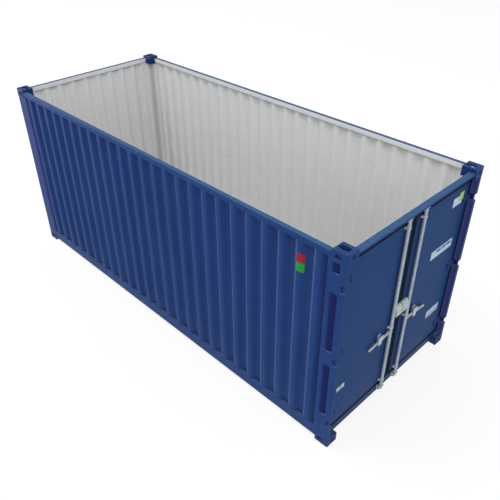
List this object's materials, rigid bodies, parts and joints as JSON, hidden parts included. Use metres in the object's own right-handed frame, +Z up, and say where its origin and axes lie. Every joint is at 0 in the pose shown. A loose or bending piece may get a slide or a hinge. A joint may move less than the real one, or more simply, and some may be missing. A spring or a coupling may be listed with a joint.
{
  "type": "open-top shipping container",
  "caption": "Open-top freight container with corrugated sides, twin hinged end doors, turning lock bars, lifting handles and corner castings.",
  "frame": {"origin": "centre of the base, on the ground", "axes": "+X along the length to the door end, +Y across, +Z up"},
  "size_m": [6.058, 2.438, 2.591],
  "materials": {
    "blue_painted_steel": "satin blue container paint outside, light grey on the faces towards the inside",
    "floor_board": "bare plywood boards, dulled by use",
    "door_seal_rubber": "black extruded rubber",
    "galvanised_steel": "hot-dip galvanised, dull grey"
  },
  "bodies": {
    "frame": {"bottom_keepers": "galvanised_steel", "bottom_rail_left": "blue_painted_steel", "bottom_rail_right": "blue_painted_steel", "casting_door_bottom_left": "blue_painted_steel", "casting_door_bottom_right": "blue_painted_steel", "casting_door_top_left": "blue_painted_steel", "casting_door_top_right": "blue_painted_steel", "casting_front_bottom_left": "blue_painted_steel", "casting_front_bottom_right": "blue_painted_steel", "casting_front_top_left": "blue_painted_steel", "casting_front_top_right": "blue_painted_steel", "cross_members": "blue_painted_steel", "door_header": "blue_painted_steel", "door_post_left": "blue_painted_steel", "door_post_right": "blue_painted_steel", "door_sill": "blue_painted_steel", "floor": "floor_board", "front_post_left": "blue_painted_steel", "front_post_right": "blue_painted_steel", "front_sill": "blue_painted_steel", "front_top_rail": "blue_painted_steel", "front_wall": "blue_painted_steel", "hinge_pins": "galvanised_steel", "side_wall_left": "blue_painted_steel", "side_wall_right": "blue_painted_steel", "top_keepers": "galvanised_steel", "top_rail_left": "blue_painted_steel", "top_rail_right": "blue_painted_steel"},
    "door_left": {"door_leaf_left": "blue_painted_steel", "gasket_left": "door_seal_rubber", "hinge_blades_left": "blue_painted_steel", "bar_guides_left": "galvanised_steel", "handle_retainer_left": "galvanised_steel", "lock_box_left": "galvanised_steel"},
    "bar_left": {"lock_bar_left": "galvanised_steel"},
    "handle_left": {"handle_left": "galvanised_steel"},
    "door_right": {"door_leaf_right": "blue_painted_steel", "gasket_right": "door_seal_rubber", "hinge_blades_right": "blue_painted_steel", "bar_guides_right": "galvanised_steel", "handle_retainer_right": "galvanised_steel", "lock_box_right": "galvanised_steel"},
    "bar_right": {"lock_bar_right": "galvanised_steel"},
    "handle_right": {"handle_right": "galvanised_steel"}
  },
  "joints": [
    {"name": "door_left_hinge", "type": "hinge", "parent": "frame", "child": "door_left", "pos_m": [2.998, -1.192, 1.31], "axis": [0, 0, -1], "range_deg": [0, 267]},
    {"name": "bar_left_turn", "type": "hinge", "parent": "door_left", "child": "bar_left", "pos_m": [2.981, -0.15, 1.31], "axis": [0, 0, -1], "range_deg": [-100, 0]},
    {"name": "handle_left_lift", "type": "hinge", "parent": "bar_left", "child": "handle_left", "pos_m": [2.981, -0.192, 1.01], "axis": [1, 0, 0], "range_deg": [-30, 0]},
    {"name": "door_right_hinge", "type": "hinge", "parent": "frame", "child": "door_right", "pos_m": [2.998, 1.192, 1.31], "axis": [0, 0, 1], "range_deg": [0, 267]},
    {"name": "bar_right_turn", "type": "hinge", "parent": "door_right", "child": "bar_right", "pos_m": [2.981, 0.15, 1.31], "axis": [0, 0, 1], "range_deg": [-100, 0]},
    {"name": "handle_right_lift", "type": "hinge", "parent": "bar_right", "child": "handle_right", "pos_m": [2.981, 0.192, 1.01], "axis": [-1, 0, 0], "range_deg": [-30, 0]}
  ]
}
